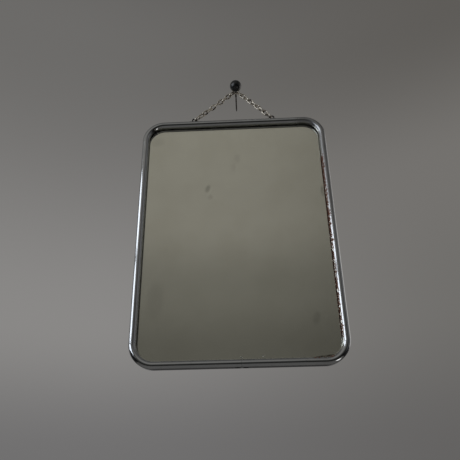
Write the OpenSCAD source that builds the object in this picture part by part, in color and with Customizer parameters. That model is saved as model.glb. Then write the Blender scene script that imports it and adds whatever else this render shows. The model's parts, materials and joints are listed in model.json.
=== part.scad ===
// Chain-hung shaving mirror with a fold-out wire stand, hanging on one wall nail.
// The origin is on the nail's axis, in the plane of the wall. The wall is the plane Y = 0, the mirror
// faces -Y and +Z is up. The mirror's own pieces are drawn lying on their back, face up: X is across,
// Y is up the mirror and Z is the height above the back of the frame. hung() then stands them up.

/* [Frame] */
// Width over the outside of the frame
frame_w = 186; // [160:1:230]
// Height over the outside of the frame
frame_h = 250; // [210:1:320]
// Depth of the frame from front to back
frame_d = 10; // [9.6:0.1:12]
// Outside radius of the frame's corners
corner_r = 22; // [18:1:40]
// Width of the half-round bead
bead_w = 6.6; // [6:0.1:8]
// Thickness of the frame's sheet metal
sheet = 0.6; // [0.5:0.05:0.7]
// How far the back edge is turned inward
flange_w = 4.4; // [4:0.1:6]
// Distance of the seam from the middle of the bottom bar
seam_x = 2; // [-20:1:20]
// Gap between the frame's back and the wall
back_gap = 4.2; // [4.2:0.1:8]

/* [Glass and backing] */
// Thickness of the glass
glass_t = 3; // [2:0.5:3]
// How far the glass edge lies inside the frame's outside
glass_inset = 2.6; // [2.6:0.1:3.2]
// Thickness of the silvering and its paint
silver_t = 0.15; // [0.1:0.05:0.2]
// Thickness of the packing card
packing_t = 1.25; // [0.8:0.05:1.25]
// Thickness of the back panel
panel_t = 0.4; // [0.3:0.05:0.4]

/* [Chain] */
// Diameter of the chain's wire
link_wire = 1.4; // [1.2:0.1:1.4]
// Length of the space inside a link
link_inner = 5.45; // [5.45:0.05:6]
// Width over the outside of a link
link_width = 5.2; // [5.2:0.1:5.6]
// Number of links from the nail to the left lug
left_links = 10; // [9:1:11]
// Number of links from the nail to the right lug
right_links = 9; // [9:1:11]

/* [Lugs] */
// Distance of each lug from the middle of the frame
lug_x = 40.5; // [34:0.5:46]
// Height of the lug's eye above the frame
eye_rise = 4.6; // [4.4:0.1:7]
// Radius of the lug's eye
eye_r = 1.6; // [1.5:0.1:1.8]

/* [Nail] */
// Diameter of the nail's head
head_d = 12.2; // [10:0.1:16]
// Distance of the head's centre from the wall
head_reach = 16.4; // [15:0.1:22]
// Diameter of the exposed neck, which carries the chain
neck_d = 2; // [1.6:0.1:2]
// Diameter of the shank in the wall, thinner than the neck, whose shoulder stops at the wall
shank_d = 1.6; // [1.2:0.1:1.6]
// Length of the shank in the wall, without its point
shank_l = 22; // [15:1:40]

/* [Stand] */
// Diameter of the stand's wire
stand_wire_d = 2.6; // [2:0.1:2.6]
// Distance of the stand's pivots below the top of the frame
pivot_drop = 34; // [28:1:60]
// Distance of each leg from the middle of the frame
leg_x = 79; // [60:1:79]
// Distance of the stand's foot above the bottom of the frame
foot_rise = 11; // [8:1:60]

/* [Hidden] */
$fn = 64;
// A gap between pieces that touch, so that they stay separate solids.
touch = 0.05;
// How far a cutting shape reaches past what it cuts.
over = 1;
half_w = frame_w / 2;
half_h = frame_h / 2;

// Heights above the frame's back of the layers held in the frame.
bead_r = bead_w / 2;
crown_z = frame_d - bead_r;
panel_z = sheet + touch;
packing_z = panel_z + panel_t + touch;
silver_z = packing_z + packing_t + touch;
glass_z = silver_z + silver_t;
lip_z = glass_z + glass_t + touch;

// The seam's plate and its screws.
seam_gap = 0.25;
screw_pitch = 7.2;
screw_d = 2;
screw_head_d = 4.2;
screw_cone = (screw_head_d - screw_d) / 2;
screw_past = 0.5;
plate_t = 0.8;
plate_l = 18;
plate_w = 5;
plate_z = 3.6;

// Pads between the glass edge and the frame.
pad_l = 12;
pad_w = 2.4;
pad_z = glass_z + (glass_t - pad_w) / 2;
pad_t = glass_inset - sheet - 2 * touch;
pad_side_y = 70;
pad_end_x = 45;

// The lugs, each a bent strap held by one rivet.
lug_t = 0.8;
lug_z = 2.9;
ear_r = 2.8;
lug_foot_w = 9;
lug_foot_z = crown_z + 0.2;
rivet_z = 5;
rivet_d = 1.5;
rivet_head_d = 2.8;
rivet_head_t = 0.8;
rivet_tail_t = 0.6;
rivet_tail_d = 2.3;

// One chain link: the distance between neighbours, the radius of its end bends, and the distances from
// its middle to the end of its wire's centre line and to the centre of a bend.
link_gap = 0.1;
pitch = link_inner - link_gap;
bend_r = (link_width - link_wire) / 2;
link_reach = (link_inner + link_wire) / 2;
bend_x = link_reach - bend_r;

// A run of links goes from a bend of the top link to a lug's eye. At the top its wire lies just inside
// the bend, and at the bottom it pulls against the eye's upper side, each with room to rock.
hook_gap = 0.2;
eye_gap = 0.25;
hook_reach = bend_r - link_wire - hook_gap;
eye_play = eye_r - link_wire / 2 - eye_gap;
function run_length(links) = hook_reach + 2 * link_reach + (links - 1) * pitch + eye_play;

// The two runs and the line between the eyes make a triangle, which places the nail.
left_run = run_length(left_links);
right_run = run_length(right_links);
nail_x = (left_run ^ 2 - right_run ^ 2) / (4 * (lug_x - bend_x));
right_span = lug_x - bend_x - nail_x;
left_span = lug_x - bend_x + nail_x;
run_drop = sqrt(right_run ^ 2 - right_span ^ 2);

// Places in the row's frame.
neck_r = neck_d / 2;
top_link_z = neck_r + link_wire / 2 + touch - bend_r;
chain_y = -back_gap - lug_z;
mirror_x = -nail_x;
mirror_z = top_link_z - run_drop - eye_rise - half_h;

// The nail.
head_back = 3.6;
head_socket = 4;
point_l = 4;
socket_gap = 0.02;
neck_l = head_reach - head_back + head_socket - touch;

// The stand and its clips.
clip_w = 4;
clip_l = 13;
clip_t = 0.6;
clip_inset = 0.2;
saddle_t = 0.8;
pivot_gap = 0.06;
pivot_r = stand_wire_d / 2 + pivot_gap;
stand_z = -clip_t - pivot_r;
pivot_y = half_h - pivot_drop;
clip_x = half_w - clip_w / 2 - clip_inset;
foot_y = -half_h + foot_rise;
shoulder_r = 5;
foot_r = 9;

// ---------------------------------------------------------------- placing

// Stands a piece of the mirror up against the wall, below the nail.
module hung() {
    translate([mirror_x, -back_gap, mirror_z])
        rotate([90, 0, 0])
            children();
}

// Turns a shape drawn along Z so that it points up the mirror.
module upward() {
    rotate([-90, 0, 0])
        children();
}

// ---------------------------------------------------------------- nail

module nail_pin() {
    color("#4a4744")
        rotate([-90, 0, 0]) {
            translate([0, 0, -neck_l])
                cylinder(h = neck_l, d = neck_d);
            cylinder(h = shank_l, d = shank_d);
            translate([0, 0, shank_l])
                cylinder(h = point_l, d1 = shank_d, d2 = 0);
        }
}

// A ball with a flat back, bored for the pin.
module nail_head() {
    color("#26282a")
        translate([0, -head_reach, 0])
            rotate([-90, 0, 0])
                difference() {
                    sphere(d = head_d);
                    translate([-head_d, -head_d, head_back])
                        cube([2 * head_d, 2 * head_d, head_d]);
                    translate([0, 0, head_back - head_socket])
                        cylinder(h = head_socket + over, r = neck_r + socket_gap);
                }
}

// ---------------------------------------------------------------- chain

// One oval link of round wire, lying in the XY plane with its length along X.
module oval_link() {
    for (side = [-1, 1]) {
        translate([side * bend_x, 0, 0])
            rotate([0, 0, -side * 90])
                rotate_extrude(angle = 180)
                    translate([bend_r, 0])
                        circle(d = link_wire);
        translate([-bend_x, side * bend_r, 0])
            rotate([0, 90, 0])
                cylinder(h = 2 * bend_x, d = link_wire);
    }
}

// The link that the nail passes through. It lies flat to the wall and rests on the neck.
module top_link() {
    color("#8f8576")
        translate([0, chain_y, top_link_z])
            rotate([90, 0, 0])
                oval_link();
}

// How far link k of a run is turned about the run. Neighbours stand at right angles, the first link and
// the last both stand edge-on to the wall, and an even number of links needs a quarter turn of twist.
function link_roll(k, links) = 90 * ((k + 1) % 2) + (links % 2 == 0 ? 90 * (k - 1) / (links - 1) : 0);

// Link k of a run that drops from the top link towards +X.
module run_link(k, links, span) {
    color("#a09788")
        translate([bend_x, chain_y, top_link_z])
            rotate([0, atan2(run_drop, span), 0])
                translate([hook_reach + link_reach + (k - 1) * pitch, 0, 0])
                    rotate([link_roll(k, links), 0, 0])
                        oval_link();
}

// ---------------------------------------------------------------- frame

// Section of the band: x is the distance inward from the outside, y the height above the back.
module band_section() {
    difference() {
        translate([bead_r, crown_z])
            circle(r = bead_r);
        translate([bead_r, crown_z])
            circle(r = bead_r - sheet);
        translate([-over, -over])
            square([bead_w + 2 * over, crown_z + over]);
    }
    square([sheet, crown_z]);
    square([flange_w, sheet]);
    translate([bead_w - sheet, lip_z])
        square([sheet, crown_z - lip_z]);
}

// A straight bar of the band, along X, whose outside is at y = reach.
module band_bar(length, reach) {
    translate([-length / 2, reach, 0])
        rotate([90, 0, 90])
            linear_extrude(length)
                mirror([1, 0])
                    band_section();
}

// The corner of the band at the top right.
module band_corner() {
    translate([half_w - corner_r, half_h - corner_r, 0])
        rotate_extrude(angle = 90)
            translate([corner_r, 0])
                mirror([1, 0])
                    band_section();
}

// The band is one strip, bent round until its ends meet at the seam in the bottom bar.
module frame_band() {
    color("#8d9093")
        hung()
            difference() {
                union() {
                    for (turn = [0, 180])
                        rotate(turn) {
                            band_bar(frame_w - 2 * corner_r, half_h);
                            rotate(90)
                                band_bar(frame_h - 2 * corner_r, half_w);
                            band_corner();
                            mirror([1, 0, 0])
                                band_corner();
                        }
                }
                translate([seam_x - seam_gap / 2, -half_h - over, -over])
                    cube([seam_gap, bead_w + 2 * over, frame_d + 2 * over]);
                for (side = [-1, 1]) {
                    seam_screw_shape(side, touch);
                    translate([side * lug_x, half_h - sheet - over, rivet_z])
                        upward()
                            cylinder(h = sheet + 2 * over, d = rivet_d + 2 * touch);
                }
            }
}

// A countersunk screw through the bottom of the frame, grown by gap for its hole.
module seam_screw_shape(side, gap) {
    translate([seam_x + side * screw_pitch / 2, -half_h, plate_z])
        upward() {
            translate([0, 0, -gap])
                cylinder(h = sheet + plate_t + screw_past + gap, d = screw_d + 2 * gap);
            cylinder(h = screw_cone, d1 = screw_head_d + 2 * gap, d2 = screw_d + 2 * gap);
        }
}

module seam_screw(side) {
    color("#1d1c1b")
        hung()
            seam_screw_shape(side, 0);
}

// The plate inside the channel that joins the two ends of the band.
module seam_plate() {
    color("#6d6a66")
        hung()
            difference() {
                translate([seam_x - plate_l / 2, -half_h + sheet + touch, plate_z - plate_w / 2])
                    cube([plate_l, plate_t, plate_w]);
                for (side = [-1, 1])
                    seam_screw_shape(side, touch);
            }
}

// ---------------------------------------------------------------- glass and backing

// A sheet of thickness t that follows the frame's outline, inset by glass_inset.
module inset_sheet(z, t) {
    r = corner_r - glass_inset;
    w = frame_w - 2 * glass_inset;
    h = frame_h - 2 * glass_inset;
    translate([0, 0, z])
        linear_extrude(t) {
            square([w - 2 * r, h], center = true);
            square([w, h - 2 * r], center = true);
            for (x = [-1, 1], y = [-1, 1])
                translate([x * (w / 2 - r), y * (h / 2 - r)])
                    circle(r = r);
        }
}

module mirror_glass() {
    color("#8b8b7c", 0.5)
        hung()
            inset_sheet(glass_z, glass_t);
}

module silvering() {
    color("#75746a")
        hung()
            inset_sheet(silver_z, silver_t);
}

module packing_card() {
    color("#8a6f4d")
        hung()
            inset_sheet(packing_z, packing_t);
}

module back_panel() {
    color("#3d3b38")
        hung()
            inset_sheet(panel_z, panel_t);
}

// One pad lying along X against the outside wall, with its outside at y = reach.
module edge_pad(x, reach) {
    translate([x - pad_l / 2, reach - sheet - touch - pad_t, pad_z])
        cube([pad_l, pad_t, pad_w]);
}

// Two pads in each upright and three at the ends, clear of the lugs' rivets and of the seam.
module edge_pads() {
    color("#6b5a44")
        hung() {
            for (turn = [-90, 90], x = [-pad_side_y, pad_side_y])
                rotate(turn)
                    edge_pad(x, half_w);
            rotate(180)
                for (x = [-pad_end_x, pad_end_x])
                    edge_pad(x, half_h);
            edge_pad(0, half_h);
        }
}

// ---------------------------------------------------------------- lugs

// A strap bent to an L: its foot lies on the top of the frame, and its ear stands up with the eye in it.
module lug(side) {
    color("#2b2a28")
        hung()
            translate([side * lug_x, half_h + touch, 0])
                difference() {
                    union() {
                        translate([-lug_foot_w / 2, 0, lug_z - lug_t / 2])
                            cube([lug_foot_w, lug_t, lug_foot_z - lug_z + lug_t / 2]);
                        translate([-ear_r, 0, lug_z - lug_t / 2])
                            cube([2 * ear_r, eye_rise - touch, lug_t]);
                        translate([0, eye_rise - touch, lug_z - lug_t / 2])
                            cylinder(h = lug_t, r = ear_r);
                    }
                    translate([0, eye_rise - touch, lug_z - lug_t])
                        cylinder(h = 2 * lug_t, r = eye_r);
                    translate([0, -over, rivet_z])
                        upward()
                            cylinder(h = lug_t + 2 * over, d = rivet_d + 2 * touch);
                }
}

// A rivet with a domed head above the lug's foot and a flat tail inside the channel.
module lug_rivet(side) {
    head_r = rivet_head_d / 2;
    dome_r = (head_r ^ 2 + rivet_head_t ^ 2) / (2 * rivet_head_t);
    color("#3a3836")
        hung()
            translate([side * lug_x, half_h + lug_t + 2 * touch, rivet_z])
                upward() {
                    intersection() {
                        translate([0, 0, rivet_head_t - dome_r])
                            sphere(r = dome_r);
                        cylinder(h = rivet_head_t, r = head_r + over);
                    }
                    translate([0, 0, -lug_t - sheet - 3 * touch])
                        cylinder(h = lug_t + sheet + 3 * touch, d = rivet_d);
                    translate([0, 0, -lug_t - sheet - 3 * touch - rivet_tail_t])
                        cylinder(h = rivet_tail_t, d = rivet_tail_d);
                }
}

// ---------------------------------------------------------------- stand

// A clip soldered to the frame's back flange: two flat feet and a bored saddle for the stand's end.
module stand_clip(side) {
    saddle_r = pivot_r + saddle_t;
    color("#7f8285")
        hung()
            translate([side * clip_x - clip_w / 2, pivot_y, 0])
                difference() {
                    union() {
                        translate([0, -clip_l / 2, -clip_t])
                            cube([clip_w, clip_l, clip_t - touch]);
                        translate([0, -saddle_r, stand_z])
                            cube([clip_w, 2 * saddle_r, -stand_z - touch]);
                        translate([0, 0, stand_z])
                            rotate([0, 90, 0])
                                cylinder(h = clip_w, r = saddle_r);
                    }
                    translate([-over, -saddle_r, -touch])
                        cube([clip_w + 2 * over, 2 * saddle_r, saddle_r]);
                    translate([-over, 0, stand_z])
                        rotate([0, 90, 0])
                            cylinder(h = clip_w + 2 * over, r = pivot_r);
                }
}

// A quarter bend of the stand's wire, from +X round to +Y about the origin.
module wire_bend(r) {
    rotate_extrude(angle = 90)
        translate([r, 0])
            circle(d = stand_wire_d);
}

// A straight length of the stand's wire, along +X.
module wire_bar(length) {
    rotate([0, 90, 0])
        cylinder(h = length, d = stand_wire_d);
}

// Half of the stand: the pivot end in its clip, the shoulder, the leg, the foot's corner and half of
// the foot.
module stand_half() {
    end_x = clip_x + clip_w / 2;
    translate([leg_x + shoulder_r, pivot_y, 0])
        wire_bar(end_x - leg_x - shoulder_r);
    translate([leg_x + shoulder_r, pivot_y - shoulder_r, 0])
        rotate(90)
            wire_bend(shoulder_r);
    translate([leg_x, pivot_y - shoulder_r, 0])
        rotate(-90)
            wire_bar(pivot_y - shoulder_r - foot_y - foot_r);
    translate([leg_x - foot_r, foot_y + foot_r, 0])
        rotate(-90)
            wire_bend(foot_r);
    translate([0, foot_y, 0])
        wire_bar(leg_x - foot_r);
}

// The stand is one wire bent to a U, which hangs from its two ends behind the mirror.
module stand_wire() {
    color("#93969a")
        hung()
            translate([0, 0, stand_z]) {
                stand_half();
                mirror([1, 0, 0])
                    stand_half();
            }
}

// ---------------------------------------------------------------- the nodes

nail_pin();
nail_head();
top_link();
for (k = [1 : left_links])
    mirror([1, 0, 0]) run_link(k, left_links, left_span);
for (k = [1 : right_links])
    run_link(k, right_links, right_span);
frame_band();
seam_plate();
seam_screw(-1);  // seam_screw_left
seam_screw(1);  // seam_screw_right
mirror_glass();
silvering();
edge_pads();
packing_card();
back_panel();
lug(-1);  // lug_left
lug(1);  // lug_right
lug_rivet(-1);  // lug_rivet_left
lug_rivet(1);  // lug_rivet_right
stand_clip(-1);  // stand_clip_left
stand_clip(1);  // stand_clip_right
stand_wire();
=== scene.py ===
"""Looks of the chain-hung shaving mirror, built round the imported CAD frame.

Everything is in metres. The row's frame has X to the right, Y into the wall and Z up, with the nail at its
origin. A place on the mirror is given as (x, y, z): x across and y up from the middle of the mirror's frame,
z the height above its back, and hung() turns that into the row's frame.
"""

import json
import math
import random

import bmesh
import bpy
import numpy as np
from mathutils import Matrix, Vector, noise


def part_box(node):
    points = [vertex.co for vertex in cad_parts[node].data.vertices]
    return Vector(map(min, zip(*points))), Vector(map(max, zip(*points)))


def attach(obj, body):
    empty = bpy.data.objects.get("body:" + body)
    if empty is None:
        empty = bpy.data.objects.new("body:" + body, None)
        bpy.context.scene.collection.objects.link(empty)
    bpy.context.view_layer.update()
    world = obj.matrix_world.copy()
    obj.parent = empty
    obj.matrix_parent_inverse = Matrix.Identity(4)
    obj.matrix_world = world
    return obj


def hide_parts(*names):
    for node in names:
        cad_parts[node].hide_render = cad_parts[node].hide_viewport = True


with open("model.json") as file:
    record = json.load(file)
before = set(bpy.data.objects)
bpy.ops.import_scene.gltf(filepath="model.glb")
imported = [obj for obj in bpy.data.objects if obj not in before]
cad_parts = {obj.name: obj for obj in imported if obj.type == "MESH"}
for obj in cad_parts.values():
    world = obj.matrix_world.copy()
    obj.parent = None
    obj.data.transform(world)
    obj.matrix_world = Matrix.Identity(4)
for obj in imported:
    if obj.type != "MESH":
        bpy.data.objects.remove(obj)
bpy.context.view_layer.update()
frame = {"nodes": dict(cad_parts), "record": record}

MM = 0.001
# Edges that turn by fewer degrees are shaded smoothly.
SMOOTH_BELOW = 35

# ---------------------------------------------------------------- sizes read from the frame
band_low, band_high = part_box("frame_band")
glass_low, glass_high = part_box("mirror_glass")
silver_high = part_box("silvering")[1]
panel_low, panel_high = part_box("back_panel")
head_low, head_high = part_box("nail_head")
pin_low, pin_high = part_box("nail_pin")

middle_x = (band_low.x + band_high.x) / 2
middle_z = (band_low.z + band_high.z) / 2
half_w = (band_high.x - band_low.x) / 2
half_h = (band_high.z - band_low.z) / 2
back_y = band_high.y
depth = band_high.y - band_low.y
glass_t = glass_high.y - glass_low.y
glass_z = back_y - glass_high.y
glass_inset = half_w - (glass_high.x - glass_low.x) / 2
silver_z = back_y - silver_high.y
panel_z = back_y - panel_high.y

# ---------------------------------------------------------------- sizes that the CAD source gives
corner_r = 22 * MM
bead_r = 3.3 * MM
bead_w = 2 * bead_r
sheet = 0.6 * MM
flange_w = 4.4 * MM
crown_z = depth - bead_r
seam_x = 2 * MM
seam_gap = 0.25 * MM
screw_pitch = 7.2 * MM
screw_z = 3.6 * MM
lug_x = 40.5 * MM
rivet_z = 5 * MM
lip_z = glass_z + glass_t + 0.05 * MM
link_wire = 1.4 * MM
link_width = 5.2 * MM
link_length = 8.25 * MM
leg_x = 79 * MM
stand_wire_d = 2.6 * MM


def hung(x, y, z):
    """A place on the mirror in the row's frame."""
    return Vector((middle_x + x, back_y - z, middle_z + y))


# ---------------------------------------------------------------- nodes
class Nodes:
    """A node tree that is put together one node at a time."""

    def __init__(self, tree):
        self.nodes = tree.nodes
        self.links = tree.links
        self.nodes.clear()

    def put(self, value, socket):
        """Feeds a node's output, a colour or a number into a socket."""
        if hasattr(value, "is_output"):
            self.links.new(value, socket)
        elif isinstance(value, tuple) and len(value) == 3:
            socket.default_value = (*value, 1.0)
        else:
            socket.default_value = value

    def split(self, vector):
        """The vector's X, Y and Z."""
        node = self.nodes.new("ShaderNodeSeparateXYZ")
        self.links.new(vector, node.inputs[0])
        return node.outputs

    def spread(self, value, low, high, out_low=0.0, out_high=1.0):
        """value from low to high becomes out_low to out_high, smoothly."""
        node = self.nodes.new("ShaderNodeMapRange")
        node.interpolation_type = "SMOOTHSTEP"
        self.put(value, node.inputs["Value"])
        node.inputs["From Min"].default_value = low
        node.inputs["From Max"].default_value = high
        node.inputs["To Min"].default_value = out_low
        node.inputs["To Max"].default_value = out_high
        return node.outputs["Result"]

    def mix(self, share, a, b):
        """Colour a where share is 0 and b where it is 1."""
        node = self.nodes.new("ShaderNodeMix")
        node.data_type = "RGBA"
        self.put(share, node.inputs[0])
        self.put(a, node.inputs[6])
        self.put(b, node.inputs[7])
        return node.outputs[2]

    def math(self, operation, a, b):
        """One sum of two numbers or outputs."""
        node = self.nodes.new("ShaderNodeMath")
        node.operation = operation
        self.put(a, node.inputs[0])
        self.put(b, node.inputs[1])
        return node.outputs[0]

    def plus(self, a, b):
        return self.math("ADD", a, b)

    def minus(self, a, b):
        return self.math("SUBTRACT", a, b)

    def times(self, a, b):
        return self.math("MULTIPLY", a, b)


class Paint(Nodes):
    """A procedural material in the row's own coordinates."""

    def __init__(self, name, rough=0.5, metal=0.0):
        self.material = bpy.data.materials.new(name)
        self.material.use_nodes = True
        super().__init__(self.material.node_tree)
        self.shader = self.nodes.new("ShaderNodeBsdfPrincipled")
        output = self.nodes.new("ShaderNodeOutputMaterial")
        self.links.new(self.shader.outputs[0], output.inputs[0])
        self.place = self.nodes.new("ShaderNodeTexCoord").outputs["Object"]
        self.set(Roughness=rough, Metallic=metal)

    def set(self, **sockets):
        """Fills the shader's own inputs, named with _ for each space."""
        for name, value in sockets.items():
            self.put(value, self.shader.inputs[name.replace("_", " ")])

    def noise(self, size, detail=3.0, rough=0.55, stretch=(1, 1, 1), twist=0.0):
        """Cloudy noise from 0 to 1, with blobs about that size in metres."""
        mapping = self.nodes.new("ShaderNodeMapping")
        mapping.inputs["Scale"].default_value = stretch
        self.links.new(self.place, mapping.inputs["Vector"])
        node = self.nodes.new("ShaderNodeTexNoise")
        node.inputs["Scale"].default_value = 1 / size
        node.inputs["Detail"].default_value = detail
        node.inputs["Roughness"].default_value = rough
        node.inputs["Distortion"].default_value = twist
        self.links.new(mapping.outputs[0], node.inputs["Vector"])
        return node.outputs["Fac"]

    def cells(self, size):
        """Distance to the nearest of many points, scattered about that size in metres apart."""
        node = self.nodes.new("ShaderNodeTexVoronoi")
        node.inputs["Scale"].default_value = 1 / size
        self.links.new(self.place, node.inputs["Vector"])
        return node.outputs["Distance"]

    def mask(self, name):
        """A named value painted on the mesh's points."""
        node = self.nodes.new("ShaderNodeAttribute")
        node.attribute_name = name
        return node.outputs["Fac"]

    def spot(self, x, y, across, up, lean=0.0):
        """1 in the middle of an oval spot on the mirror, falling smoothly to 0 at its edge. across and up are
        its half width and half height, lean its turn anticlockwise in degrees."""
        split = self.split(self.place)
        centre = hung(x, y, 0)
        dx = self.minus(split["X"], centre.x)
        dz = self.minus(split["Z"], centre.z)
        cos, sin = math.cos(math.radians(lean)), math.sin(math.radians(lean))
        along = self.plus(self.times(dx, cos), self.times(dz, sin))
        beside = self.minus(self.times(dz, cos), self.times(dx, sin))
        along = self.math("DIVIDE", along, across)
        beside = self.math("DIVIDE", beside, up)
        square = self.plus(self.times(along, along), self.times(beside, beside))
        return self.spread(square, 0.0, 1.0, 1.0, 0.0)

    def bump(self, height, strength, distance):
        """Bends the light as if the surface rose by height times distance in metres."""
        node = self.nodes.new("ShaderNodeBump")
        node.inputs["Strength"].default_value = strength
        node.inputs["Distance"].default_value = distance
        self.put(height, node.inputs["Height"])
        self.links.new(node.outputs[0], self.shader.inputs["Normal"])


# ---------------------------------------------------------------- materials
def plate_material():
    """Old chrome plate: bright, faintly pitted, with the masks painted on it for rust, haze, and grime with
    painted shade along the lip.
    """
    paint = Paint("old_chrome", metal=1.0)
    cloud = paint.noise(14 * MM, 4)
    fine = paint.noise(1.1 * MM, 4)
    streak = paint.noise(5 * MM, 3, stretch=(1, 1, 0.25))
    pits = paint.spread(paint.cells(2.6 * MM), 0.06, 0.14, 1.0, 0.0)
    pits = paint.times(pits, paint.spread(cloud, 0.5, 0.62))

    # Rust begins where the painted mask and the patches add up to enough, and a brown stain goes before it.
    patchy = paint.spread(paint.noise(2.6 * MM, 5, 0.7), 0.3, 0.7, 0.0, 0.55)
    nibbled = paint.plus(paint.times(paint.mask("rust"), 0.68), patchy)
    rust = paint.spread(nibbled, 0.70, 0.80)
    stain = paint.spread(nibbled, 0.58, 0.76)
    # The grime mask darkens the lip's lower side towards the glass: some grime, and painted shade in the
    # crease where the lip meets the glass.
    dull_and_shaded = paint.times(paint.mask("grime_and_shade"), paint.spread(fine, 0.2, 0.7, 0.6, 1.0))
    covered = paint.math("MAXIMUM", rust, paint.times(dull_and_shaded, 0.8))

    bluish, neutral, streaky = (0.50, 0.52, 0.55), (0.60, 0.61, 0.62), (0.36, 0.37, 0.38)
    hazy, grimy_and_shaded, pitted = (0.26, 0.255, 0.25), (0.060, 0.055, 0.048), (0.07, 0.05, 0.04)
    brown, dark_rust, light_rust = (0.22, 0.13, 0.085), (0.045, 0.015, 0.010), (0.30, 0.125, 0.075)
    colour = paint.mix(cloud, bluish, neutral)
    colour = paint.mix(paint.spread(streak, 0.5, 0.75, 0.0, 0.35), colour, streaky)
    colour = paint.mix(paint.times(paint.mask("haze"), 0.45), colour, hazy)
    colour = paint.mix(dull_and_shaded, colour, grimy_and_shaded)
    colour = paint.mix(paint.times(pits, 0.8), colour, pitted)
    colour = paint.mix(paint.times(stain, 0.7), colour, brown)
    paint.set(Base_Color=paint.mix(rust, colour, paint.mix(fine, dark_rust, light_rust)))
    paint.set(Metallic=paint.minus(1.0, paint.times(covered, 0.9)))

    rough = paint.spread(cloud, 0.3, 0.75, 0.045, 0.10)
    rough = paint.plus(rough, paint.times(paint.mask("haze"), 0.24))
    rough = paint.plus(rough, paint.times(covered, 0.5))
    paint.set(Roughness=paint.plus(rough, paint.times(fine, 0.03)))
    height = paint.plus(paint.times(rust, fine), paint.times(pits, -0.6))
    paint.bump(paint.plus(height, paint.times(cloud, 0.4)), 0.25, 0.12 * MM)
    return paint.material


def steel_material(name, light, dark, rough, metal=1.0, rust_share=0.0):
    """Bare or plated steel with tarnish, fine scratches and, if wanted, specks of rust."""
    rusty = (0.13, 0.05, 0.025)
    paint = Paint(name, metal=metal)
    cloud = paint.noise(4 * MM, 4)
    fine = paint.noise(0.8 * MM, 3)
    colour = paint.mix(paint.spread(cloud, 0.35, 0.68), light, dark)
    if rust_share:
        specks = paint.spread(paint.noise(1.6 * MM, 5, 0.7), 0.66 - rust_share, 0.72 - rust_share)
        colour = paint.mix(specks, colour, rusty)
    paint.set(Base_Color=colour)
    paint.set(Roughness=paint.spread(fine, 0.2, 0.8, rough * 0.75, rough * 1.35))
    paint.bump(fine, 0.2, 0.06 * MM)
    return paint.material


def chain_material():
    """Nickel worn bright on the outside of each link, and brown with grime and painted shade on the inner
    side of the wire, where the links rub.
    """
    cool_nickel, warm_nickel = (1.0, 0.96, 0.88), (1.0, 0.90, 0.72)
    dark_grime_and_shade, light_grime_and_shade = (0.035, 0.022, 0.014), (0.11, 0.075, 0.05)
    paint = Paint("worn_nickel_with_painted_shade", metal=1.0)
    fine = paint.noise(0.9 * MM, 4)
    cloud = paint.noise(3.5 * MM, 3)
    # The grime mask is grime and painted shade: dark brown on the inner side of the wire, most at the link's
    # ends and its joint.
    grime_and_shade = paint.plus(paint.mask("grime_and_shade"), paint.spread(cloud, 0.3, 0.7, -0.35, 0.35))
    grime_and_shade = paint.spread(grime_and_shade, 0.19, 0.54)
    bright = paint.mix(cloud, cool_nickel, warm_nickel)
    paint.set(Base_Color=paint.mix(grime_and_shade, bright, paint.mix(fine, dark_grime_and_shade, light_grime_and_shade)))
    paint.set(Metallic=paint.minus(1.0, paint.times(grime_and_shade, 0.55)))
    rough = paint.spread(fine, 0.2, 0.8, 0.26, 0.40)
    paint.set(Roughness=paint.plus(rough, paint.times(grime_and_shade, 0.3)))
    paint.bump(fine, 0.3, 0.06 * MM)
    return paint.material


def enamel_material(name, base, worn, rough):
    """Dark enamel, dusty and rubbed in places."""
    paint = Paint(name)
    cloud = paint.noise(7 * MM, 5, 0.6)
    fine = paint.noise(0.7 * MM, 3)
    rubbed = paint.spread(cloud, 0.5, 0.72)
    paint.set(Base_Color=paint.mix(paint.times(rubbed, 0.7), base, worn))
    paint.set(Roughness=paint.spread(cloud, 0.3, 0.7, rough, rough + 0.2))
    paint.set(Coat_Weight=0.3, Coat_Roughness=0.18)
    paint.bump(paint.plus(paint.times(fine, 0.4), cloud), 0.25, 0.12 * MM)
    return paint.material


def back_material():
    """Dark grey lacquer on tin: brushed out by hand, scratched, with rust coming through in places."""
    dark_lacquer, light_lacquer = (0.150, 0.143, 0.130), (0.210, 0.200, 0.182)
    bare_tin, rusty = (0.36, 0.33, 0.30), (0.20, 0.085, 0.045)
    paint = Paint("back_lacquer")
    brush = paint.noise(3 * MM, 4, stretch=(0.12, 1, 1))
    cloud = paint.noise(30 * MM, 5, 0.6)
    scratch = paint.spread(paint.noise(2 * MM, 2, stretch=(1, 1, 0.02), twist=0.6), 0.70, 0.74)
    through = paint.spread(paint.noise(9 * MM, 6, 0.72), 0.63, 0.69)
    colour = paint.mix(cloud, dark_lacquer, light_lacquer)
    colour = paint.mix(paint.times(scratch, 0.6), colour, bare_tin)
    paint.set(Base_Color=paint.mix(paint.times(through, 0.75), colour, rusty))
    paint.set(Roughness=paint.spread(cloud, 0.3, 0.7, 0.32, 0.55))
    paint.bump(paint.plus(brush, paint.times(through, 0.5)), 0.3, 0.15 * MM)
    return paint.material


def fibre_material(name, light, dark, size):
    """Felt or card: short matted fibres of that size."""
    paint = Paint(name, rough=0.92)
    fibres = paint.noise(size, 6, 0.75, stretch=(1, 1, 0.35), twist=1.2)
    cloud = paint.noise(size * 12, 3)
    paint.set(Base_Color=paint.mix(paint.times(paint.plus(fibres, cloud), 0.5), dark, light))
    paint.bump(fibres, 0.6, 0.1 * MM)
    return paint.material


def glass_material():
    """Clear sheet glass with a faint, slightly uneven green cast."""
    paint = Paint("sheet_glass", rough=0.0)
    cloud = paint.noise(6 * MM, 5, 0.65)
    paint.set(Base_Color=paint.mix(cloud, (0.965, 0.975, 0.955), (0.945, 0.965, 0.94)))
    paint.set(Transmission_Weight=1.0, IOR=1.5)
    return paint.material


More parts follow.
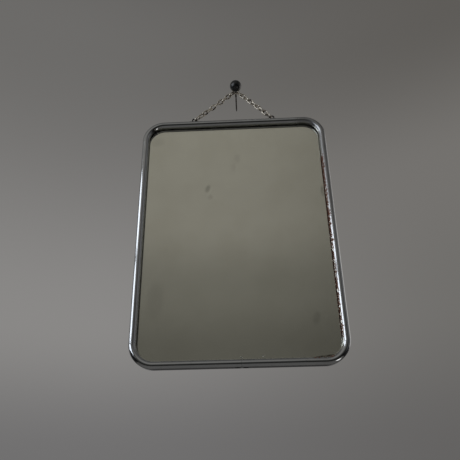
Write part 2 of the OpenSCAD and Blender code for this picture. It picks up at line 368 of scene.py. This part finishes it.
def silver_material():
    """The aged reflecting layer: a warm cast, a few dark blooms where damp got in, and worn edges."""
    paint = Paint("aged_silver", metal=1.0)
    cloud = paint.noise(45 * MM, 4, 0.6)
    fine = paint.noise(1.4 * MM, 5, 0.7)
    tone = paint.mix(paint.spread(cloud, 0.35, 0.7), (0.90, 0.868, 0.795), (0.855, 0.822, 0.745))
    tone = with_blooms(paint, tone, fine)

    # A brown stain along the glass's edge: x, y and half width of each part in millimetres.
    for x, y, across in ((68.0, -117.9, 8.0), (75.5, -117.1, 6.0)):
        stain = paint.times(paint.spot(x * MM, y * MM, across * MM, 1.5 * MM, lean=3), fine)
        tone = paint.mix(paint.spread(stain, 0.12, 0.42, 0.0, 0.85), tone, (0.085, 0.052, 0.02))

    # Two pale chips beside the seam, which don't reflect: x, y and radius in millimetres.
    chipped = 0.0
    for x, y, size in ((1.8, -116.4, 0.9), (19.7, -115.8, 0.8)):
        chipped = paint.math("MAXIMUM", chipped, paint.spot(x * MM, y * MM, size * MM, size * MM))
    chipped = paint.spread(chipped, 0.15, 0.5)
    tone = paint.mix(chipped, tone, (0.92, 0.90, 0.84))
    paint.set(Metallic=paint.minus(1.0, chipped))

    edge = paint.plus(paint.mask("edge"), paint.spread(fine, 0.3, 0.7, -0.25, 0.25))
    tone = paint.mix(paint.spread(edge, 0.55, 0.95, 0.0, 0.75), tone, (0.16, 0.13, 0.09))
    paint.set(Base_Color=tone)
    paint.set(Roughness=paint.spread(edge, 0.5, 1.0, 0.015, 0.3))
    return paint.material


def with_blooms(paint, tone, fine):
    """The silver's colour with its blooms over it: light ones where the strength is below 0, else dark."""
    dark, light = (0.10, 0.10, 0.085), (1.0, 0.98, 0.9)
    # x, y, half width and half height in millimetres, lean in degrees, strength.
    blooms = [
        (-26.4, 46.0, 3.2, 5.6, -22, 0.40),
        (-23.6, 44.6, 1.8, 3.2, -22, -0.30),
        (-24.0, 36.5, 3.0, 3.6, 0, 0.16),
        (-0.5, 69.0, 2.6, 9.0, 0, 0.08),
        (3.0, 80.0, 4.0, 7.0, 0, 0.12),
        (-78.0, 103.0, 9.0, 7.0, 0, 0.10),
        (84.3, 39.0, 2.6, 7.5, 0, 0.42),
        (67.0, -85.0, 4.0, 7.5, -20, 0.22),
        (-81.0, -54.0, 2.2, 2.2, 0, -0.30),
        (-73.0, -66.0, 10.0, 22.0, 0, 0.12),
    ]
    for x, y, across, up, lean, strength in blooms:
        spot = paint.spot(x * MM, y * MM, across * MM, up * MM, lean)
        ragged = paint.times(spot, paint.spread(fine, 0.2, 0.75, 0.55, 1.0))
        share = paint.times(ragged, abs(strength))
        tone = paint.mix(share, tone, dark if strength > 0 else light)
    return tone


def floor_material():
    """A plain pale floor."""
    paint = Paint("pale_floor", rough=0.7)
    paint.set(Base_Color=paint.mix(paint.noise(0.3, 3), (0.46, 0.45, 0.43), (0.50, 0.49, 0.47)))
    return paint.material


# ---------------------------------------------------------------- mesh helpers
def added(name, data):
    """A new object with that data, in the scene."""
    thing = bpy.data.objects.new(name, data)
    bpy.context.scene.collection.objects.link(thing)
    return thing


def mesh_of(name, points, faces):
    """A mesh with those points and faces."""
    mesh = bpy.data.meshes.new(name)
    mesh.from_pydata([tuple(p) for p in points], [], faces)
    return mesh


def piece_from(name, points, faces, material, body, slot, replaced, smooth_below=SMOOTH_BELOW):
    """A finished piece: its mesh, its material, its body and the CAD nodes that it stands for."""
    mesh = mesh_of(name, points, faces)
    mesh.validate()
    return finished(name, mesh, material, body, replaced, smooth_below)


def finished(name, mesh, material, body, replaced, smooth_below=SMOOTH_BELOW):
    """A piece from a ready mesh. Edges that turn by less than smooth_below degrees are shaded smoothly."""
    build = bmesh.new()
    build.from_mesh(mesh)
    bmesh.ops.recalc_face_normals(build, faces=build.faces)
    build.to_mesh(mesh)
    build.free()
    mesh.shade_smooth()
    mesh.set_sharp_from_angle(angle=math.radians(smooth_below))
    thing = added(name, mesh)
    mesh.materials.append(material)
    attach(thing, body)
    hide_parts(*replaced)
    return thing


def paint_mask(thing, name, values):
    """Stores one value per point, which a material reads by name."""
    layer = thing.data.attributes.new(name, "FLOAT", "POINT")
    layer.data.foreach_set("value", np.array(values, np.float32))


def grid_faces(rings, around, closed_rings=False):
    """Faces of a tube whose ring r has its points at r * around onwards."""
    faces = []
    for r in range(rings if closed_rings else rings - 1):
        for a in range(around):
            b = (a + 1) % around
            s = (r + 1) % rings
            faces.append((r * around + a, r * around + b, s * around + b, s * around + a))
    return faces


def capped_faces(rings, around):
    """Faces of such a tube with a flat cap on each end."""
    last = (rings - 1) * around
    return grid_faces(rings, around) + [tuple(range(around)), tuple(range(last, last + around))]


def swept_wire(name, path, radius, material, body, slot, replaced):
    """A round wire with flat ends, along a path of points that doesn't run along Y."""
    points = [Vector(p) for p in path]
    side = Vector((0, 1, 0))
    around = 20
    turns = [2 * math.pi * k / around for k in range(around)]
    skin = []
    for i, p in enumerate(points):
        ahead = (points[min(i + 1, len(points) - 1)] - points[max(i - 1, 0)]).normalized()
        across = ahead.cross(side).normalized()
        other = across.cross(ahead).normalized()
        skin += [p + radius * (math.cos(t) * across + math.sin(t) * other) for t in turns]
    return piece_from(name, skin, capped_faces(len(points), around), material, body, slot, replaced)


def arc(cx, cy, radius, start, end, steps):
    """Points on an arc about (cx, cy), with the angles in degrees."""
    turns = [math.radians(start + (end - start) * k / steps) for k in range(steps + 1)]
    return [(cx + radius * math.cos(t), cy + radius * math.sin(t)) for t in turns]


def outline(inset, corner_steps=24, side_step=3 * MM):
    """The frame's outline, moved inward: places (x, y) with the direction outward there, anticlockwise from
    the seam in the bottom bar."""
    w, h, r = half_w - inset, half_h - inset, corner_r - inset
    corners = [(w - r, -h + r, -90), (w - r, h - r, 0), (-w + r, h - r, 90), (-w + r, -h + r, 180)]
    places = []
    previous = (seam_x, -h)
    for cx, cy, start in corners:
        bend = arc(cx, cy, r, start, start + 90, corner_steps)
        places += straight(previous, bend[0], side_step)
        places += [(p, ((p[0] - cx) / r, (p[1] - cy) / r)) for p in bend]
        previous = bend[-1]
    return places + straight(previous, (seam_x, -h), side_step)


def straight(a, b, step):
    """Places along a side of the outline, without its ends."""
    run = math.hypot(b[0] - a[0], b[1] - a[1])
    count = max(2, round(run / step))
    ahead = ((b[0] - a[0]) / run, (b[1] - a[1]) / run)
    outward = (ahead[1], -ahead[0])
    return [((a[0] + ahead[0] * run * k / count, a[1] + ahead[1] * run * k / count), outward)
            for k in range(1, count)]


def closed_outline(inset):
    """The outline as a closed loop of places, without directions."""
    return [(seam_x, -half_h + inset)] + [place for place, _ in outline(inset)]


def turned(profile, matrix, around, wobble=0.0):
    """Points and faces of a turned shape. profile is (distance, radius) along the matrix's own Z, and wobble
    is the share of the radius that wear has taken in places."""
    points = []
    for along, radius in profile:
        for k in range(around):
            t = 2 * math.pi * k / around
            rub = noise.noise(Vector((2 * math.cos(t), along / (2 * MM), 2 * math.sin(t))))
            r = radius * (1 - wobble * (0.5 + 0.5 * rub))
            points.append(matrix @ Vector((r * math.cos(t), r * math.sin(t), along)))
    faces = grid_faces(len(profile), around)
    start = (len(profile) - 1) * around
    points.append(matrix @ Vector((0, 0, profile[0][0])))
    points.append(matrix @ Vector((0, 0, profile[-1][0])))
    for k in range(around):
        n = (k + 1) % around
        faces.append((len(points) - 2, n, k))
        faces.append((len(points) - 1, start + k, start + n))
    return points, faces


def box_shape(low, high):
    """Points and faces of a plain box, used as a cutter."""
    xs, ys, zs = zip(low, high)
    points = [Vector((x, y, z)) for x in xs for y in ys for z in zs]
    faces = [(0, 1, 3, 2), (4, 6, 7, 5), (0, 4, 5, 1), (2, 3, 7, 6), (0, 2, 6, 4), (1, 5, 7, 3)]
    return points, faces


def cut_away(thing, shapes):
    """Cuts shapes, each given as points and faces, out of a piece."""
    tools = []
    for k, (points, faces) in enumerate(shapes):
        tool = added("cutter", mesh_of("cutter", points, faces))
        tools.append(tool)
        cut = thing.modifiers.new(f"cut{k}", "BOOLEAN")
        cut.operation = "DIFFERENCE"
        cut.solver = "EXACT"
        cut.object = tool
    apply_modifiers(thing)
    for tool in tools:
        bpy.data.objects.remove(tool)
    thing.data.set_sharp_from_angle(angle=math.radians(SMOOTH_BELOW))


def apply_modifiers(thing):
    """Gives the piece the mesh that its modifiers make."""
    bpy.context.view_layer.update()
    graph = bpy.context.evaluated_depsgraph_get()
    mesh = bpy.data.meshes.new_from_object(thing.evaluated_get(graph), depsgraph=graph)
    thing.modifiers.clear()
    thing.data = mesh


def eased(node, material, body, width):
    """A CAD piece with its sharp edges rounded off by that width."""
    build = bmesh.new()
    build.from_mesh(frame["nodes"][node].data)
    bmesh.ops.remove_doubles(build, verts=build.verts, dist=0.002 * MM)
    bmesh.ops.dissolve_limit(build, angle_limit=math.radians(1), verts=build.verts, edges=build.edges)
    sharp_turn = math.radians(40)
    sharp = [edge for edge in build.edges
             if len(edge.link_faces) == 2 and edge.calc_face_angle(0) > sharp_turn]
    bmesh.ops.bevel(build, geom=sharp, offset=width, segments=3, profile=0.5, affect="EDGES",
                    clamp_overlap=True)
    mesh = bpy.data.meshes.new(node + "_piece")
    build.to_mesh(mesh)
    build.free()
    return finished(node + "_piece", mesh, material, body, (node,), 50)


# ---------------------------------------------------------------- the frame
def band_section():
    """The rolled strip's section, as (distance inward, height above the back), round its whole skin: the
    bead's outside, the lip, the bead's inside, the turned-in edge and the outer side."""
    ease = 0.5 * MM
    skin = arc(bead_r, crown_z, bead_r, 180, 0, 44)
    skin += arc(bead_w - sheet / 2, lip_z + sheet / 2, sheet / 2, 0, -180, 8)
    skin += arc(bead_r, crown_z, bead_r - sheet, 0, 180, 20)
    skin += [(sheet, sheet + ease), (sheet + ease, sheet)]
    skin += arc(flange_w - sheet / 2, sheet / 2, sheet / 2, 90, -90, 6)
    skin += arc(ease, ease, ease, 270, 180, 6)
    skin += [(0, ease + (crown_z - ease) * k / 6) for k in range(1, 6)]
    return skin


def between(value, low, high, soft):
    """1 between low and high, falling to 0 within soft outside them."""
    rise = min(1, max(0, (value - low) / soft + 1))
    fall = min(1, max(0, (high - value) / soft + 1))
    return min(rise, fall)


def rust_share(x, y):
    """How rusty the inner edge of the frame is at that place: the lower right has suffered most."""
    right = between(x, half_w - 12 * MM, half_w, 2 * MM)
    upper = between(y, 2 * MM, 76 * MM, 10 * MM)
    lower = 0.86 * between(y, -100 * MM, 0, 12 * MM)
    low_bar = between(y, -half_h, -half_h + 10 * MM, 2 * MM) * between(x, 62 * MM, 80 * MM, 7 * MM)
    return max(right * max(upper, lower), 0.9 * low_bar)


def dent(x, y):
    """How far the bead is pressed in at that place."""
    # x, y, radius and depth of each knock, in millimetres.
    knocks = [(-90, 95.6, 2.2, 0.22), (90.4, 86.2, 1.2, 0.45), (91.5, 81.5, 0.9, 0.30), (-92, -91, 3, 0.10)]
    pressed = 0.0
    for knock_x, knock_y, size, deep in knocks:
        square = (x - knock_x * MM) ** 2 + (y - knock_y * MM) ** 2
        pressed += deep * MM * math.exp(-square / (size * MM) ** 2)
    return pressed


def make_frame(material):
    """The rolled band, open at its seam, with its four holes and the masks of its rust, its haze, and its
    grime with painted shade along the lip.
    """
    section = band_section()
    seam_ends = [((seam_x + turn * seam_gap / 2, -half_h), (0, -1)) for turn in (1, -1)]
    places = seam_ends[:1] + outline(0, corner_steps=30, side_step=2 * MM) + seam_ends[1:]
    wave_depth, waves_per_metre = 0.035 * MM, 70
    points, rust, grime_and_shade, haze = [], [], [], []
    for (x, y), (ox, oy) in places:
        wave = wave_depth * (1 + noise.noise(Vector((x, y, 0)) * waves_per_metre))
        share = rust_share(x, y)
        hazy = between(x, half_w - 24 * MM, half_w, 8 * MM) * between(y, 30 * MM, half_h, 60 * MM)
        for inward, height in section:
            px, py = x - inward * ox, y - inward * oy
            press = wave + dent(px, py) * between(height, crown_z, depth, 2 * MM)
            sunk = height - press * between(height, crown_z, depth, MM)
            points.append(hung(px - wave * ox, py - wave * oy, sunk))
            rust.append(share * inner_share(inward, height))
            # Grime and painted shade on the lip's lower side, in the crease against the glass.
            grime_and_shade.append(lip_grime_and_shade(inward, height))
            haze.append(hazy)
    faces = capped_faces(len(places), len(section))
    thing = piece_from("frame_shell", points, faces, material, "mirror", "frame_plate", ("frame_band",))
    paint_mask(thing, "rust", rust)
    paint_mask(thing, "grime_and_shade", grime_and_shade)
    paint_mask(thing, "haze", haze)
    screw_clearance, rivet_r, through = 0.05 * MM, 0.8 * MM, 4 * MM
    holes = [turned(screw_profile(screw_clearance), screw_place(side), 40) for side in (-1, 1)]
    for side in (-1, 1):
        place = Matrix.Translation(hung(side * lug_x, half_h - through / 2, rivet_z))
        holes.append(turned([(0, rivet_r), (through, rivet_r)], place, 32))
    cut_away(thing, holes)


def bead_lean(inward, height):
    """The direction of the bead's skin from the bead's middle, in degrees: 0 inward and 90 to the front."""
    return math.degrees(math.atan2(height - crown_z, inward - bead_r))


def inner_share(inward, height):
    """1 on the inner side of the bead, falling to 0 near its crown and outside it."""
    crown_lean, steepness = 84, 1.6
    if inward <= bead_r:
        return 0
    return 1 - min(1, max(0, bead_lean(inward, height) / crown_lean)) ** steepness


def lip_grime_and_shade(inward, height):
    """The grime and painted shade on the lip's lower side, down to the glass."""
    strength = 0.12
    if inward <= bead_r:
        return 0
    return strength * between(bead_lean(inward, height), -91, -30, 20)


def screw_place(side):
    """The place of a screw's head, to the left (-1) or the right (1) of the seam."""
    return Matrix.Translation(hung(seam_x + side * screw_pitch / 2, -half_h, screw_z))


def screw_profile(gap=0.0):
    """A countersunk screw, head first, along its own Z."""
    head, land, shank, length = 2.1 * MM, 0.12 * MM, 1.0 * MM, 1.9 * MM
    cone = head - shank
    return [(-gap, head + gap), (land, head + gap), (cone, shank + gap), (length + gap, shank + gap)]


def make_screws(material):
    """The two countersunk screws under the seam, each with its slot turned its own way."""
    slot_half, slot_reach, slot_depth = 0.28 * MM, 3 * MM, 0.5 * MM
    for side, name in ((-1, "seam_screw_left"), (1, "seam_screw_right")):
        place = screw_place(side)
        points, faces = turned(screw_profile(), place, 40)
        thing = piece_from(name + "_piece", points, faces, material, "mirror", "screw_dark", (name,))
        turn = place @ Matrix.Rotation(math.radians(25 + 50 * side), 4, "Z")
        points, faces = box_shape((-slot_reach, -slot_half, -MM), (slot_reach, slot_half, slot_depth))
        cut_away(thing, [([turn @ p for p in points], faces)])


# ---------------------------------------------------------------- glass and backing
def layered_sheet(name, layers, material, slot, node, edge_mask=False):
    """A flat sheet that follows the frame. layers are (inset, height) rings from back to front. The edge mask
    is 1 at the glass's edge and falls to 0 within edge_w."""
    edge_w = 5 * MM
    points, mask = [], []
    for inset, height in layers:
        ring = closed_outline(inset)
        points += [hung(x, y, height) for x, y in ring]
        mask += [max(0.0, 1 - (inset - glass_inset) / edge_w)] * len(ring)
    faces = capped_faces(len(layers), len(points) // len(layers))
    thing = piece_from(name, points, faces, material, "mirror", slot, (node,))
    if edge_mask:
        paint_mask(thing, "edge", mask)


def make_glass(glass, silver, lacquer, card):
    """The glass with its ground edge, the silver on its back, and the card and the panel behind it."""
    ground = 0.35 * MM
    top = glass_z + glass_t
    layered_sheet("glass_sheet", [(glass_inset + ground, glass_z), (glass_inset, glass_z + ground),
                                  (glass_inset, top - ground), (glass_inset + ground, top)],
                  glass, "glass", "mirror_glass")
    front = glass_z - 0.03 * MM
    insets = [glass_inset + k * MM for k in (0.4, 0.9, 1.8, 2.6, 3.6, 5.0, 7.0)]
    layers = [(insets[-1], silver_z), (insets[0], silver_z)] + [(inset, front) for inset in insets]
    layered_sheet("silver_layer", layers, silver, "silver", "silvering", edge_mask=True)
    packing_low, packing_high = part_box("packing_card")
    layers = rounded_edge(back_y - packing_high.y, back_y - packing_low.y, 0.2 * MM)
    layered_sheet("card_sheet", layers, card, "card", "packing_card")
    layers = rounded_edge(panel_z, back_y - panel_low.y, 0.15 * MM)
    layered_sheet("back_sheet", layers, lacquer, "back_paint", "back_panel")


def rounded_edge(low, high, ease):
    """Rings for a sheet between two heights whose edge is rounded off."""
    bottom = [(glass_inset + ease + x, low + ease + y) for x, y in arc(0, 0, ease, 270, 180, 4)]
    upper = [(glass_inset + ease + x, high - ease + y) for x, y in arc(0, 0, ease, 180, 90, 4)]
    return bottom + upper


# ---------------------------------------------------------------- chain
def link_place(node):
    """The place of a CAD link: its length along X, its width along Y and its thin side along Z."""
    spots = np.array([v.co for v in frame["nodes"][node].data.vertices])
    _, axes = np.linalg.eigh(np.cov((spots - spots.mean(0)).T))
    long_way, wide_way = Vector(axes[:, 2]), Vector(axes[:, 1])
    # The axes come with any sign, so each is turned one way: the length down, the width out from the wall.
    if long_way.z > 0:
        long_way = -long_way
    if wide_way.y > 0 or (abs(wide_way.y) < 1e-6 and wide_way.x > 0):
        wide_way = -wide_way
    thin_way = long_way.cross(wide_way)
    turn = Matrix((long_way, wide_way, thin_way)).transposed()
    local = spots @ np.array(turn)
    centre = turn @ Vector((local.min(0) + local.max(0)) / 2)
    return Matrix.Translation(centre) @ turn.to_4x4()


def link_ways():
    """Places along a link's wire, as x, y and the direction outward in degrees, round from its lower side."""
    wire = link_wire / 2
    bend = link_width / 2 - wire
    reach = link_length / 2 - wire - bend
    # Millimetres along the upper side, close together at the butt joint in its middle.
    across_joint = [-1.1, -0.45, -0.16, -0.09, 0.0, 0.09, 0.16, 0.45, 1.1]
    ways = [(x, -bend, -90.0) for x in np.linspace(-reach, reach, 8)[1:-1]]
    ways += [(reach + bend * math.cos(t), bend * math.sin(t), math.degrees(t))
             for t in np.linspace(-math.pi / 2, math.pi / 2, 17)]
    ways += [(-x * MM, bend, 90.0) for x in across_joint]
    ways += [(-reach + bend * math.cos(t), bend * math.sin(t), math.degrees(t))
             for t in np.linspace(math.pi / 2, 3 * math.pi / 2, 17)]
    return ways, reach


def make_link(node, body, material, rng):
    """One oval link of round wire with its butt joint in one long side, a little uneven as bent by hand. It
    is worn thinner inside its bends, where the grime and painted shade are thickest too."""
    wire, joint_w, rub_per_metre, around = link_wire / 2, 0.14 * MM, 900, 16
    ways, reach = link_ways()
    skew = rng.uniform(-0.03, 0.03)
    seed = Vector((rng.uniform(0, 100), 0, 0))
    points, grime_and_shade = [], []
    for x, y, facing in ways:
        at_joint = max(0, 1 - abs(x) / joint_w) if y > 0 and abs(x) < reach else 0
        at_end = max(0, abs(x) / reach - 0.9)
        out = Vector((math.cos(math.radians(facing)), math.sin(math.radians(facing)), 0))
        for k in range(around):
            t = 2 * math.pi * k / around
            inward = max(0.0, -math.cos(t))
            rub = noise.noise(Vector((x, y, wire * math.sin(t))) * rub_per_metre + seed)
            r = wire * (0.985 + 0.015 * rub - 0.14 * at_joint - 0.05 * inward * min(1, at_end))
            spot = Vector((x, y, skew * x)) + out * r * math.cos(t)
            points.append(spot + Vector((0, 0, r * math.sin(t))))
            # Grime and painted shade: darker on the wire's inner side, most inside the bends and at the
            # joint.
            grime_and_shade.append(min(1, 0.18 + 0.75 * inward * min(1, at_end * 2) + 0.25 * inward + 0.6 * at_joint))
    place = link_place(node)
    thing = piece_from(node + "_piece", [place @ p for p in points], grid_faces(len(ways), around, True),
                       material, body, "chain_nickel", (node,), 60)
    paint_mask(thing, "grime_and_shade", grime_and_shade)


# ---------------------------------------------------------------- nail
def along_nail():
    """Turns a shape's own Z to the nail's direction, into the wall."""
    return Matrix.Rotation(math.radians(-90), 4, "X")


def make_nail(enamel, steel):
    """The nail's black knob, and its pin from the neck through the grip rings to the point."""
    piece_from("nail_knob", *turned(knob_profile(), along_nail(), 72, 0.012), enamel, "wall_nail",
               "nail_head_black", ("nail_head",), 40)
    piece_from("nail_wire", *turned(pin_profile(), along_nail(), 32), steel, "wall_nail",
               "nail_steel", ("nail_pin",), 40)


def knob_profile():
    """The knob from its front to its flat back, and on into the bore that holds the neck."""
    bore_r, bore_depth, rim_ease = 1.03 * MM, 3.9 * MM, 0.12 * MM
    back = head_high.y
    head_r = (head_high.x - head_low.x) / 2
    centre = head_low.y + head_r
    rim = math.degrees(math.acos(-(back - centre) / head_r))
    profile = [(centre - head_r * math.cos(math.radians(a)), head_r * math.sin(math.radians(a)))
               for a in np.linspace(2, rim - 3, 40)]
    edge = profile[-1][1]
    profile += [(back - rim_ease, edge - rim_ease), (back, edge - 0.4 * MM)]
    return profile + [(back, bore_r), (back - bore_depth, bore_r)]


def pin_profile():
    """The neck, the thinner shank with its rolled grip rings, and the point."""
    neck, shank, wire_end, point_r = 1.0 * MM, 0.8 * MM, 22 * MM, 0.04 * MM
    neck_ease = 0.1 * MM
    profile = [(pin_low.y, neck - neck_ease), (pin_low.y + neck_ease, neck), (-0.08 * MM, neck),
               (0, neck - 0.08 * MM), (0, shank)]
    rings, first_ring, ring_pitch, ring_deep = 7, 1.5, 0.7, 0.08 * MM
    for k in range(rings):
        start = (first_ring + ring_pitch * k) * MM
        profile += [(start, shank), (start + 0.1 * MM, shank - ring_deep),
                    (start + 0.35 * MM, shank - ring_deep), (start + 0.45 * MM, shank)]
    return profile + [(wire_end, shank), (pin_high.y - 0.2 * MM, point_r)]


# ---------------------------------------------------------------- stand
def make_stand(material):
    """The wire stand, from its left pivot end round its foot to the right one."""
    low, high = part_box("stand_wire")
    r = stand_wire_d / 2
    height = back_y - (low.y + high.y) / 2
    pivot_y = high.z - r - middle_z
    foot_y = low.z + r - middle_z
    end_x = (high.x - low.x) / 2
    shoulder, foot = 5 * MM, 9 * MM
    half = [(end_x - inset * MM, pivot_y) for inset in (0, 0.3, 2, 5)]
    half += arc(leg_x + shoulder, pivot_y - shoulder, shoulder, 90, 180, 14)
    half += [(leg_x, y) for y in np.linspace(pivot_y - shoulder - 5 * MM, foot_y + foot + 5 * MM, 30)]
    half += arc(leg_x - foot, foot_y + foot, foot, 0, -90, 16)
    half += [(x, foot_y) for x in np.linspace(leg_x - foot - 8 * MM, 0, 12)]
    other_half = [(-x, y) for x, y in half[-2::-1]]
    path = half + other_half
    swept_wire("stand_bow", [hung(x, y, height) for x, y in path], r, material, "stand", "stand_plate",
               ("stand_wire",))


# ---------------------------------------------------------------- camera, light and floor
def make_camera():
    """A phone-like view from below the mirror and a little to its right, looking up and slightly left."""
    up, left, roll = math.radians(25.39), math.radians(1.85), math.radians(1.15)
    right_of_middle, below_middle, before_crown = 7.5 * MM, 191.6 * MM, 401.8 * MM
    ahead = Vector((-math.cos(up) * math.sin(left), math.cos(up) * math.cos(left), math.sin(up)))
    level = Vector((math.cos(left), math.sin(left), 0))
    over = level.cross(ahead)
    right = math.cos(roll) * level - math.sin(roll) * over
    over = math.sin(roll) * level + math.cos(roll) * over
    turn = Matrix((right, over, -ahead)).transposed()
    data = bpy.data.cameras.new("camera")
    data.sensor_width = 36
    data.lens = 36 * 480 / 460
    data.clip_start = 0.01
    camera = added("camera", data)
    place = hung(right_of_middle, -below_middle, crown_z + before_crown)
    camera.matrix_world = Matrix.Translation(place) @ turn.to_4x4()
    bpy.context.scene.camera = camera


def make_lamp(name, bearing, rise, distance, width, height, radiance, colour, across=0.0, up=0.0):
    """A soft rectangular lamp that faces the mirror, out of the camera's sight. It stands bearing degrees to
    the left of straight before the mirror and rise degrees up. across and up move it in its own plane."""
    data = bpy.data.lights.new(name, "AREA")
    data.shape = "RECTANGLE"
    data.size = width
    data.size_y = height
    data.energy = radiance * width * height * math.pi
    data.color = colour
    lamp = added(name, data)
    aside, climb = math.radians(bearing), math.radians(rise)
    away = Vector((-math.sin(aside) * math.cos(climb), -math.cos(aside) * math.cos(climb), math.sin(climb)))
    turn = (-away).to_track_quat("-Z", "Y")
    lamp.location = hung(0, 0, 0) + away * distance + turn @ Vector((across, up, 0))
    lamp.rotation_mode = "QUATERNION"
    lamp.rotation_quaternion = turn
    lamp.visible_camera = False


def make_window():
    """A window to the left of the mirror, with two columns of three panes."""
    pane_w, pane_h, bar = 0.52, 0.28, 0.04
    for column in (-0.5, 0.5):
        for row in (-1, 0, 1):
            make_lamp("window_pane", bearing=55, rise=13, distance=1.3, width=pane_w, height=pane_h,
                      radiance=2.05, colour=(0.88, 0.93, 1.0),
                      across=column * (pane_w + bar), up=row * (pane_h + bar))


def make_room():
    """Soft grey surroundings: the wall's side behind the mirror, the dimmer room in front, dark below. Each
    stop of a climb is a rise above level in degrees and the colour there."""
    world = bpy.data.worlds.new("room")
    bpy.context.scene.world = world
    world.use_nodes = True
    tree = Nodes(world.node_tree)
    rightward, wallward, upward = tree.split(tree.nodes.new("ShaderNodeTexCoord").outputs["Generated"])
    scale = tree.nodes.new("ShaderNodeMapRange")
    scale.inputs["From Min"].default_value = -1
    tree.put(upward, scale.inputs["Value"])

    def climb(stops):
        """A colour for each height in the room."""
        ramp = tree.nodes.new("ShaderNodeValToRGB")
        ramp.color_ramp.interpolation = "EASE"
        while len(ramp.color_ramp.elements) < len(stops):
            ramp.color_ramp.elements.new(0.5)
        for element, (rise, colour) in zip(ramp.color_ramp.elements, stops):
            element.position = (math.sin(math.radians(rise)) + 1) / 2
            element.color = (*colour, 1)
        tree.put(scale.outputs[0], ramp.inputs[0])
        return ramp.outputs[0]

    room_left = climb([(-20, (0.008, 0.008, 0.008)), (0, (0.045, 0.045, 0.042)), (11, (0.110, 0.108, 0.100)),
                       (18, (0.160, 0.157, 0.146)), (27, (0.245, 0.238, 0.222)), (40, (0.258, 0.251, 0.232)),
                       (62, (0.140, 0.137, 0.130)), (90, (0.110, 0.108, 0.104))])
    room_dark = climb([(-20, (0.003, 0.003, 0.003)), (0, (0.016, 0.016, 0.015)), (11, (0.038, 0.037, 0.034)),
                       (27, (0.085, 0.082, 0.077)), (40, (0.090, 0.087, 0.081)), (62, (0.100, 0.098, 0.094)),
                       (90, (0.110, 0.108, 0.104))])
    room_side = climb([(-20, (0.010, 0.010, 0.010)), (0, (0.100, 0.100, 0.100)), (20, (0.170, 0.168, 0.165)),
                       (45, (0.150, 0.148, 0.144)), (90, (0.110, 0.108, 0.104))])
    wall_left = climb([(-90, (0.010, 0.010, 0.010)), (-12, (0.030, 0.029, 0.029)), (0, (0.165, 0.162, 0.162)),
                       (14, (0.252, 0.246, 0.240)), (45, (0.15, 0.146, 0.14)), (75, (0.085, 0.082, 0.08))])
    wall_right = climb([(-90, (0.008, 0.008, 0.008)), (-12, (0.025, 0.024, 0.024)),
                        (0, (0.125, 0.121, 0.118)), (16, (0.160, 0.155, 0.146)), (30, (0.172, 0.165, 0.155)),
                        (45, (0.110, 0.104, 0.096)), (75, (0.085, 0.082, 0.08))])
    room = tree.mix(tree.spread(rightward, -0.1, 0.6), room_left, room_dark)
    room = tree.mix(tree.spread(rightward, 0.55, 0.78), room, room_side)
    wall = tree.mix(tree.spread(rightward, -0.35, 0.5), wall_left, wall_right)
    background = tree.nodes.new("ShaderNodeBackground")
    tree.put(tree.mix(tree.spread(wallward, -0.08, 0.08), room, wall), background.inputs[0])
    output = tree.nodes.new("ShaderNodeOutputWorld")
    tree.put(background.outputs[0], output.inputs[0])


def make_floor(material):
    """A square floor below the mirror, out of the main view."""
    half, drop, forward = 1.7, 1.35, 0.2
    corners = [(x * half, y * half - forward, -drop) for x, y in ((-1, -1), (1, -1), (1, 1), (-1, 1))]
    floor = added("floor", mesh_of("floor", corners, [(0, 1, 2, 3)]))
    floor.data.materials.append(material)


# ---------------------------------------------------------------- the scene
make_camera()
make_room()
make_window()
make_lamp("doorway", bearing=-118, rise=15, distance=1.5, width=1.2, height=1.4, radiance=0.5,
          colour=(1.0, 0.97, 0.93))
make_lamp("basin", bearing=-70, rise=-48, distance=0.7, width=0.25, height=0.10, radiance=1.6,
          colour=(1.0, 0.98, 0.95))
make_floor(floor_material())

make_frame(plate_material())
make_screws(steel_material("screw_black", (0.016, 0.015, 0.014), (0.008, 0.007, 0.006), 0.6, 0.3))
board = fibre_material("packing_board", (0.36, 0.27, 0.17), (0.24, 0.17, 0.10), 0.6 * MM)
make_glass(glass_material(), silver_material(), back_material(), board)

felt = fibre_material("edge_felt", (0.20, 0.155, 0.10), (0.10, 0.075, 0.05), 0.3 * MM)
inner_steel = steel_material("inner_steel", (0.36, 0.35, 0.33), (0.2, 0.17, 0.14), 0.42, rust_share=0.06)
lug_dark = steel_material("lug_black", (0.045, 0.042, 0.038), (0.02, 0.018, 0.016), 0.45, 0.6, 0.04)
clip_steel = steel_material("clip_steel", (0.42, 0.43, 0.44), (0.26, 0.25, 0.24), 0.3, rust_share=0.05)
eased("edge_pads", felt, "mirror", 0.25 * MM)
eased("seam_plate", inner_steel, "mirror", 0.12 * MM)
for side in ("left", "right"):
    eased("lug_" + side, lug_dark, "mirror", 0.14 * MM)
    eased("lug_rivet_" + side, lug_dark, "mirror", 0.08 * MM)
    eased("stand_clip_" + side, clip_steel, "mirror", 0.12 * MM)

nickel = chain_material()
rng = random.Random(7)
make_link("top_link", "top_link", nickel, rng)
for node in frame["record"]["behaviour"]["bodies"]["chain"]:
    make_link(node, "chain", nickel, rng)

make_nail(enamel_material("knob_enamel", (0.012, 0.0125, 0.0135), (0.045, 0.045, 0.043), 0.22),
          steel_material("nail_steel", (0.22, 0.21, 0.20), (0.07, 0.055, 0.045), 0.4, rust_share=0.05))
make_stand(steel_material("stand_chrome", (0.50, 0.51, 0.52), (0.34, 0.34, 0.34), 0.2, rust_share=0.03))

bpy.context.scene.view_settings.view_transform = "Standard"
